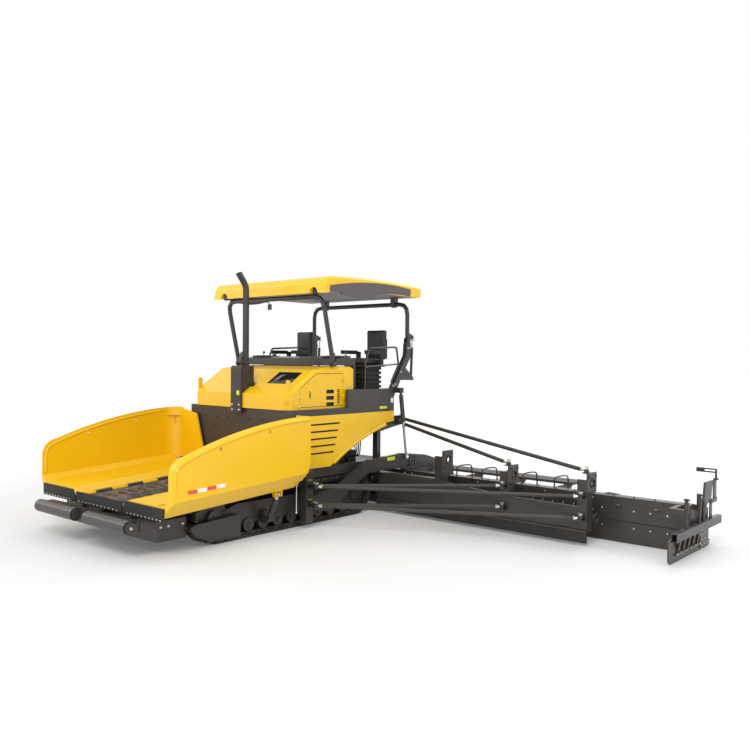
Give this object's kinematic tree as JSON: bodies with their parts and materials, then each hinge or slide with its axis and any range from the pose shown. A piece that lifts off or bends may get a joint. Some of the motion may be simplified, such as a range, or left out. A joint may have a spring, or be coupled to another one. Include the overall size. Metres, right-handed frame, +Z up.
{
  "type": "asphalt paver",
  "caption": "Tracked asphalt paver with folding hopper wings, canopy, augers and a wide mechanically extended screed on tow arms.",
  "frame": {"origin": "centre of the bounding box's underside, on the ground under the machine", "axes": "+X to the machine's left, +Y to the rear (the hopper faces -Y), +Z up"},
  "size_m": [12.7, 6.7, 3.9419],
  "materials": {
    "body_yellow": "satin",
    "frame_grey": "satin",
    "dark_grey": "satin",
    "steel": "brushed",
    "chrome": "polished",
    "track_iron": "worn",
    "rubber": "matte",
    "seat_black": "matte",
    "exhaust_black": "matte",
    "liner_black": "matte",
    "engine_grey": "matte"
  },
  "bodies": {
    "chassis": {"track_left": "track_iron", "track_right": "track_iron", "track_frames": "frame_grey", "main_frame": "frame_grey", "track_guards": "frame_grey", "wing_hinges": "frame_grey", "wing_ram_feet": "frame_grey", "conveyor": "steel", "apron_middle": "rubber", "bulkhead": "dark_grey", "deck": "frame_grey", "side_skirts": "body_yellow", "engine": "engine_grey", "side_tanks": "engine_grey", "hood": "body_yellow", "exhaust_box": "exhaust_black", "platform": "frame_grey", "console": "frame_grey", "seat_bases": "dark_grey", "seat_cushions": "seat_black", "handrails": "frame_grey", "masts": "frame_grey", "canopy_ram_barrels": "frame_grey", "auger_frame": "frame_grey", "limiting_plates": "frame_grey", "rubber_skirts": "rubber", "tie_rods": "frame_grey"},
    "wing_left": {"hopper_wing_left": "body_yellow", "apron_side_left": "rubber"},
    "wing_right": {"hopper_wing_right": "body_yellow", "apron_side_right": "rubber"},
    "wing_ram_barrel_left": {"wing_ram_barrel_left": "steel"},
    "wing_ram_barrel_right": {"wing_ram_barrel_right": "steel"},
    "wing_ram_stage_left": {"wing_ram_stage_left": "chrome"},
    "wing_ram_stage_right": {"wing_ram_stage_right": "chrome"},
    "wing_ram_rod_left": {"wing_ram_rod_left": "chrome"},
    "wing_ram_rod_right": {"wing_ram_rod_right": "chrome"},
    "push_beam": {"push_beam": "frame_grey"},
    "push_roller_left": {"push_roller_left": "frame_grey"},
    "push_roller_right": {"push_roller_right": "frame_grey"},
    "hood_door_left": {"hood_door_left": "body_yellow"},
    "hood_door_right": {"hood_door_right": "body_yellow"},
    "exhaust_pipe": {"exhaust_pipe": "exhaust_black"},
    "front_arch": {"front_arch": "frame_grey"},
    "rear_arch": {"rear_arch": "frame_grey"},
    "roof": {"roof": "body_yellow", "roof_liner": "liner_black"},
    "canopy_ram_rods": {"canopy_ram_rods": "chrome"},
    "auger_left": {"auger_left": "frame_grey"},
    "auger_right": {"auger_right": "frame_grey"},
    "tow_sliders": {"tow_sliders": "frame_grey"},
    "screed": {"tow_arms": "frame_grey", "screed": "frame_grey", "screed_extensions": "frame_grey", "walkway": "frame_grey"},
    "lift_barrels": {"lift_barrels": "frame_grey"},
    "lift_rods": {"lift_rods": "chrome"},
    "end_gate_left": {"end_gate_left": "frame_grey"},
    "end_gate_right": {"end_gate_right": "frame_grey"}
  },
  "joints": [
    {"name": "wing_fold_left", "type": "hinge", "parent": "chassis", "child": "wing_left", "pos_m": [0.6, -3, 0.585], "axis": [0, -0.9981, -0.0611], "range_deg": [0, 45]},
    {"name": "wing_ram_swing_left", "type": "hinge", "parent": "chassis", "child": "wing_ram_barrel_left", "pos_m": [1.275, -1.05541, 0.21], "axis": [0, -0.9981, -0.0611], "range_deg": [0, 27.2]},
    {"name": "wing_ram_first_left", "type": "slide", "parent": "wing_ram_barrel_left", "child": "wing_ram_stage_left", "axis": [0.4709, -0.0539, 0.8805], "range_m": [0, 0.302]},
    {"name": "wing_ram_second_left", "type": "slide", "parent": "wing_ram_stage_left", "child": "wing_ram_rod_left", "axis": [0.4709, -0.0539, 0.8805], "range_m": [0, 0.302]},
    {"name": "wing_fold_right", "type": "hinge", "parent": "chassis", "child": "wing_right", "pos_m": [-0.6, -3, 0.585], "axis": [0, 0.9981, 0.0611], "range_deg": [0, 45]},
    {"name": "wing_ram_swing_right", "type": "hinge", "parent": "chassis", "child": "wing_ram_barrel_right", "pos_m": [-1.275, -1.05541, 0.21], "axis": [0, 0.9981, 0.0611], "range_deg": [0, 27.2]},
    {"name": "wing_ram_first_right", "type": "slide", "parent": "wing_ram_barrel_right", "child": "wing_ram_stage_right", "axis": [-0.4709, -0.0539, 0.8805], "range_m": [0, 0.302]},
    {"name": "wing_ram_second_right", "type": "slide", "parent": "wing_ram_stage_right", "child": "wing_ram_rod_right", "axis": [-0.4709, -0.0539, 0.8805], "range_m": [0, 0.302]},
    {"name": "push_beam_swivel", "type": "hinge", "parent": "chassis", "child": "push_beam", "pos_m": [0, -2.95, 0.37], "axis": [0, 0, 1], "range_deg": [-6, 6]},
    {"name": "push_roller_spin_left", "type": "hinge", "parent": "push_beam", "child": "push_roller_left", "pos_m": [0.65, -3.26, 0.42], "axis": [1, 0, 0], "continuous": true},
    {"name": "push_roller_spin_right", "type": "hinge", "parent": "push_beam", "child": "push_roller_right", "pos_m": [-0.65, -3.26, 0.42], "axis": [1, 0, 0], "continuous": true},
    {"name": "hood_door_swing_left", "type": "hinge", "parent": "chassis", "child": "hood_door_left", "pos_m": [1.169, 0.64, 2.067], "axis": [0, 0, 1], "range_deg": [0, 100]},
    {"name": "hood_door_swing_right", "type": "hinge", "parent": "chassis", "child": "hood_door_right", "pos_m": [-1.169, 0.64, 2.067], "axis": [0, 0, -1], "range_deg": [0, 100]},
    {"name": "exhaust_fold", "type": "hinge", "parent": "chassis", "child": "exhaust_pipe", "pos_m": [0, -0.545, 2.5], "axis": [1, 0, 0], "range_deg": [0, 90]},
    {"name": "canopy_fold", "type": "hinge", "parent": "chassis", "child": "rear_arch", "pos_m": [0, 2.285, 2.91], "axis": [-1, 0, 0], "range_deg": [0, 35]},
    {"name": "roof_tilt", "type": "hinge", "parent": "rear_arch", "child": "roof", "pos_m": [0, 2.285, 3.545], "axis": [1, 0, 0], "range_deg": [0, 31.7]},
    {"name": "front_arch_swing", "type": "hinge", "parent": "chassis", "child": "front_arch", "pos_m": [0, 0.39, 2.49], "axis": [-1, 0, 0], "range_deg": [0, 20.1]},
    {"name": "canopy_ram_stroke", "type": "slide", "parent": "chassis", "child": "canopy_ram_rods", "axis": [0, -0.047, -0.9989], "range_m": [0, 0.0955]},
    {"name": "auger_spin_left", "type": "hinge", "parent": "chassis", "child": "auger_left", "pos_m": [2.4, 1.69, 0.345], "axis": [1, 0, 0], "continuous": true},
    {"name": "auger_spin_right", "type": "hinge", "parent": "chassis", "child": "auger_right", "pos_m": [-2.4, 1.69, 0.345], "axis": [1, 0, 0], "continuous": true},
    {"name": "tow_point_height", "type": "slide", "parent": "chassis", "child": "tow_sliders", "axis": [0, 0, 1], "range_m": [0, 0.12]},
    {"name": "screed_lift", "type": "hinge", "parent": "tow_sliders", "child": "screed", "pos_m": [0, -0.24, 0.33], "axis": [1, 0, 0], "range_deg": [0, 9]},
    {"name": "lift_ram_swing", "type": "hinge", "parent": "chassis", "child": "lift_barrels", "pos_m": [0, 1.79, 2.03], "axis": [-1, 0, 0], "range_deg": [0, 4.33]},
    {"name": "lift_ram_stroke", "type": "slide", "parent": "lift_barrels", "child": "lift_rods", "axis": [0, -0.1513, 0.9885], "range_m": [0, 0.3498]},
    {"name": "end_gate_height_left", "type": "slide", "parent": "screed", "child": "end_gate_left", "axis": [0, 0, 1], "range_m": [0, 0.12]},
    {"name": "end_gate_height_right", "type": "slide", "parent": "screed", "child": "end_gate_right", "axis": [0, 0, 1], "range_m": [0, 0.12]}
  ],
  "couplings": [
    {"joint": "wing_ram_swing_left", "follows": "wing_fold_left", "ratio": 0.60444},
    {"joint": "wing_ram_first_left", "follows": "wing_fold_left", "m_per_rad": 0.38325},
    {"joint": "wing_ram_second_left", "follows": "wing_fold_left", "m_per_rad": 0.38325},
    {"joint": "wing_ram_swing_right", "follows": "wing_fold_right", "ratio": 0.60444},
    {"joint": "wing_ram_first_right", "follows": "wing_fold_right", "m_per_rad": 0.38325},
    {"joint": "wing_ram_second_right", "follows": "wing_fold_right", "m_per_rad": 0.38325},
    {"joint": "roof_tilt", "follows": "canopy_fold", "ratio": 0.9034},
    {"joint": "front_arch_swing", "follows": "canopy_fold", "ratio": 0.5725},
    {"joint": "canopy_ram_stroke", "follows": "canopy_fold", "m_per_rad": 0.15552},
    {"joint": "lift_ram_swing", "follows": "screed_lift", "ratio": 0.47521},
    {"joint": "lift_ram_stroke", "follows": "screed_lift", "m_per_rad": 2.2236}
  ]
}
